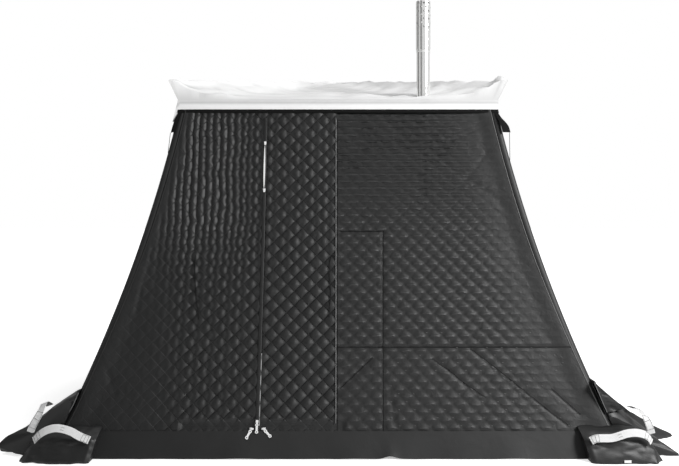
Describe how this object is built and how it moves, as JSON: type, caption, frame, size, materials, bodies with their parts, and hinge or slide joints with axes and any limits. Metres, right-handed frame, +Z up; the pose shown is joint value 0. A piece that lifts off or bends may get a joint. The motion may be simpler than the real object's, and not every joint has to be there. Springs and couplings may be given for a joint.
{
  "type": "sauna tent",
  "caption": "Quilted pop-up sauna tent with a zipped door, white roof fly, ground skirt, corner weight bags and a wood stove whose flue passes the roof.",
  "frame": {"origin": "on the ground under the middle of the tent's bounding box", "axes": "+Z up; the door wall faces -Y; +X to the right when facing the door"},
  "size_m": [3.599, 3.0572, 2.463],
  "materials": {
    "quilt_black": "quilted woven",
    "fly_white": "coated woven",
    "webbing_black": "woven tape",
    "webbing_silver": "woven tape",
    "skirt_black": "coated woven",
    "bag_black": "coated woven",
    "cord_black": "braided",
    "pole_steel": "brushed",
    "frame_plastic": "moulded",
    "zip_white": "moulded",
    "stove_black": "heat-proof paint",
    "flue_steel": "polished",
    "jack_grey": "heat-proof cloth"
  },
  "bodies": {
    "tent": {"front_wall": "quilt_black", "right_wall": "quilt_black", "rear_wall": "quilt_black", "left_wall": "quilt_black", "ceiling_panel": "quilt_black", "roof_fly": "fly_white", "fly_hem_band": "webbing_black", "ground_skirt": "skirt_black", "corner_sleeve_front_left": "quilt_black", "corner_sleeve_front_right": "quilt_black", "corner_sleeve_rear_right": "quilt_black", "corner_sleeve_rear_left": "quilt_black", "fly_tie_cord_front_left": "cord_black", "fly_tie_cord_front_right": "cord_black", "fly_tie_cord_rear_right": "cord_black", "fly_tie_cord_rear_left": "cord_black", "roof_hub": "frame_plastic", "roof_arm_front_left": "frame_plastic", "roof_arm_front_right": "frame_plastic", "roof_arm_rear_right": "frame_plastic", "roof_arm_rear_left": "frame_plastic", "leg_pole_front_left": "pole_steel", "leg_pole_front_right": "pole_steel", "leg_pole_rear_right": "pole_steel", "leg_pole_rear_left": "pole_steel", "weight_bag_front_left": "bag_black", "weight_bag_front_right": "bag_black", "weight_bag_rear_left": "bag_black", "weight_bag_rear_right": "bag_black", "weight_bag_left_front": "bag_black", "weight_bag_left_rear": "bag_black", "weight_bag_right_front": "bag_black", "weight_bag_right_rear": "bag_black", "bag_handle_front_left": "webbing_silver", "bag_handle_front_right": "webbing_silver", "bag_handle_rear_left": "webbing_silver", "bag_handle_rear_right": "webbing_silver", "bag_handle_left_front": "webbing_silver", "bag_handle_left_rear": "webbing_silver", "bag_handle_right_front": "webbing_silver", "bag_handle_right_rear": "webbing_silver", "stove_firebox": "stove_black", "flue_pipe": "flue_steel", "spark_arrestor": "flue_steel", "stove_jack": "jack_grey"},
    "left_leaf": {"door_leaf_left": "quilt_black", "tie_back_cord_left": "cord_black"},
    "right_leaf": {"door_leaf_right": "quilt_black", "tie_back_cord_right": "cord_black"},
    "upright_slider": {"zip_slider_upright": "zip_white"},
    "upright_pull": {"zip_pull_upright": "zip_white"},
    "left_sill_slider": {"sill_slider_left": "zip_white"},
    "left_sill_pull": {"sill_pull_left": "zip_white"},
    "right_sill_slider": {"sill_slider_right": "zip_white"},
    "right_sill_pull": {"sill_pull_right": "zip_white"},
    "upper_vent_slider": {"vent_slider_upper": "zip_white"},
    "lower_vent_slider": {"vent_slider_lower": "zip_white"},
    "stove_hatch": {"stove_door": "stove_black"},
    "stove_latch": {"stove_door_latch": "flue_steel"},
    "damper": {"flue_damper": "flue_steel"}
  },
  "joints": [
    {"name": "left_leaf_hinge", "type": "hinge", "parent": "tent", "child": "left_leaf", "pos_m": [-0.785, -1.38405, 0.15164], "axis": [0, -0.2779, -0.9606], "range_deg": [0, 150]},
    {"name": "right_leaf_hinge", "type": "hinge", "parent": "tent", "child": "right_leaf", "pos_m": [-0.005, -1.38405, 0.15164], "axis": [0, 0.2779, 0.9606], "range_deg": [0, 150]},
    {"name": "upright_slider_travel", "type": "hinge", "parent": "left_leaf", "child": "upright_slider", "pos_m": [-0.41, -10.50948, 3.66679], "axis": [1, 0, 0], "range_deg": [0, 6.91]},
    {"name": "upright_pull_swing", "type": "hinge", "parent": "upright_slider", "child": "upright_pull", "pos_m": [-0.41, -1.38904, 0.16962], "axis": [-1, 0, 0], "range_deg": [0, 150]},
    {"name": "lower_vent_slider_travel", "type": "hinge", "parent": "left_leaf", "child": "lower_vent_slider", "pos_m": [-0.41, -10.50948, 3.66679], "axis": [1, 0, 0], "range_deg": [0, 1.4]},
    {"name": "upper_vent_slider_travel", "type": "hinge", "parent": "left_leaf", "child": "upper_vent_slider", "pos_m": [-0.41, -10.50948, 3.66679], "axis": [1, 0, 0], "range_deg": [0, 0.688]},
    {"name": "left_sill_slider_travel", "type": "slide", "parent": "tent", "child": "left_sill_slider", "axis": [-1, 0, 0], "range_m": [0, 0.33]},
    {"name": "left_sill_pull_swing", "type": "hinge", "parent": "left_sill_slider", "child": "left_sill_pull", "pos_m": [-0.436, -1.39864, 0.13775], "axis": [-0.8829, 0.1696, 0.4378], "range_deg": [0, 150]},
    {"name": "right_sill_slider_travel", "type": "slide", "parent": "tent", "child": "right_sill_slider", "axis": [1, 0, 0], "range_m": [0, 0.34]},
    {"name": "right_sill_pull_swing", "type": "hinge", "parent": "right_sill_slider", "child": "right_sill_pull", "pos_m": [-0.376, -1.39864, 0.13775], "axis": [-0.7193, -0.2509, -0.6478], "range_deg": [0, 150]},
    {"name": "stove_door_hinge", "type": "hinge", "parent": "tent", "child": "stove_hatch", "pos_m": [0.3985, -0.4505, 0.305], "axis": [0, 0, 1], "range_deg": [0, 110]},
    {"name": "stove_latch_pivot", "type": "hinge", "parent": "tent", "child": "stove_latch", "pos_m": [0.601, -0.4495, 0.305], "axis": [0, -1, 0], "range_deg": [0, 90]},
    {"name": "flue_damper_pivot", "type": "hinge", "parent": "tent", "child": "damper", "pos_m": [0.497, -0.8, 0.86], "axis": [1, 0, 0], "range_deg": [0, 90]}
  ]
}
